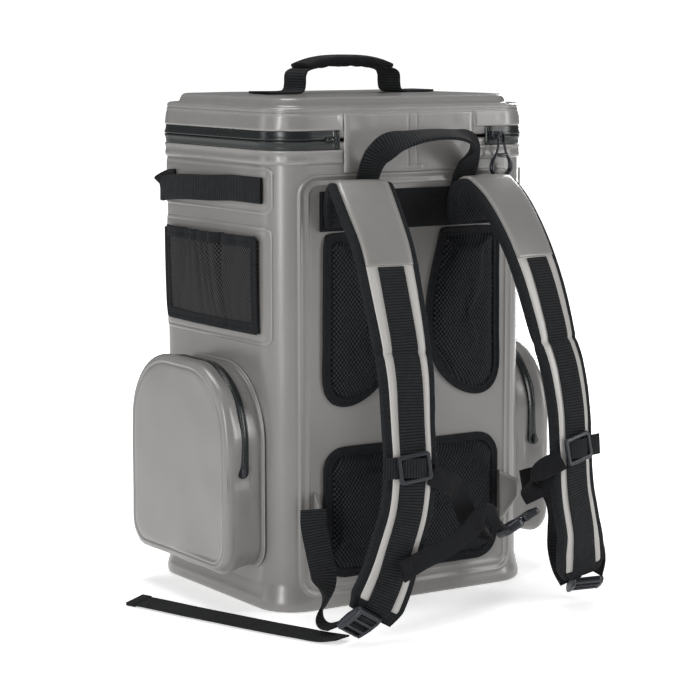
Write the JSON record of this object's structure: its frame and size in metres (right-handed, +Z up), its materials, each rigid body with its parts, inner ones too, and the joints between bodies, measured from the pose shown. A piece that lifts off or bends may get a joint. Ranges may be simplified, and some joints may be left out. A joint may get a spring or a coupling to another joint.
{
  "type": "cooler backpack",
  "caption": "Tall insulated backpack with a zipped lid, side zip pockets, mesh pockets, carrying handles and a padded harness.",
  "frame": {"origin": "centre of the case's bottom face, where it stands", "axes": "+Z up, -Y towards the harness and the wearer, -X towards the left side as seen by the wearer's back"},
  "size_m": [0.4452, 0.4, 0.531],
  "materials": {
    "coated_fabric": "satin coated fabric",
    "webbing": "ribbed woven webbing",
    "spacer_mesh": "padded spacer mesh",
    "netting": "knitted net",
    "zipper_rubber": "satin coated zipper",
    "nylon": "moulded, soft gloss",
    "plated_metal": "dark plated"
  },
  "bodies": {
    "root": {"body_tub": "coated_fabric", "lid": "coated_fabric", "zipper_frame": "coated_fabric", "lid_zipper": "zipper_rubber", "lid_hinge": "coated_fabric", "zipper_pull": "nylon", "snap_hook": "plated_metal", "top_handle_webbing": "webbing", "top_handle_grip": "webbing", "handle_patch_left": "coated_fabric", "handle_patch_right": "coated_fabric", "side_handle_left": "webbing", "side_handle_right": "webbing", "mesh_patch_left": "coated_fabric", "mesh_patch_right": "coated_fabric", "mesh_pocket_left": "netting", "mesh_pocket_right": "netting", "zip_pocket_left": "coated_fabric", "zip_pocket_right": "coated_fabric", "pocket_zipper_left": "zipper_rubber", "pocket_zipper_right": "zipper_rubber", "yoke_webbing": "webbing", "haul_loop": "webbing", "pad_upper_left": "spacer_mesh", "pad_upper_right": "spacer_mesh", "pad_lower": "spacer_mesh", "shoulder_strap_left": "spacer_mesh", "shoulder_strap_right": "spacer_mesh", "strap_cap_left": "coated_fabric", "strap_cap_right": "coated_fabric", "strap_webbing_left": "webbing", "strap_webbing_right": "webbing", "tri_glide_left": "nylon", "tri_glide_right": "nylon", "sternum_band_left": "webbing", "sternum_band_right": "webbing", "sternum_strap_left": "webbing", "sternum_strap_right": "webbing", "sternum_tail": "webbing", "buckle_socket": "nylon", "buckle_plug": "nylon", "ladder_lock_left": "nylon", "ladder_lock_right": "nylon", "gusset_left": "coated_fabric", "gusset_right": "coated_fabric", "adjuster_strap_left": "webbing", "adjuster_strap_right": "webbing", "adjuster_tail_left": "webbing", "adjuster_tail_right": "webbing"}
  },
  "joints": []
}
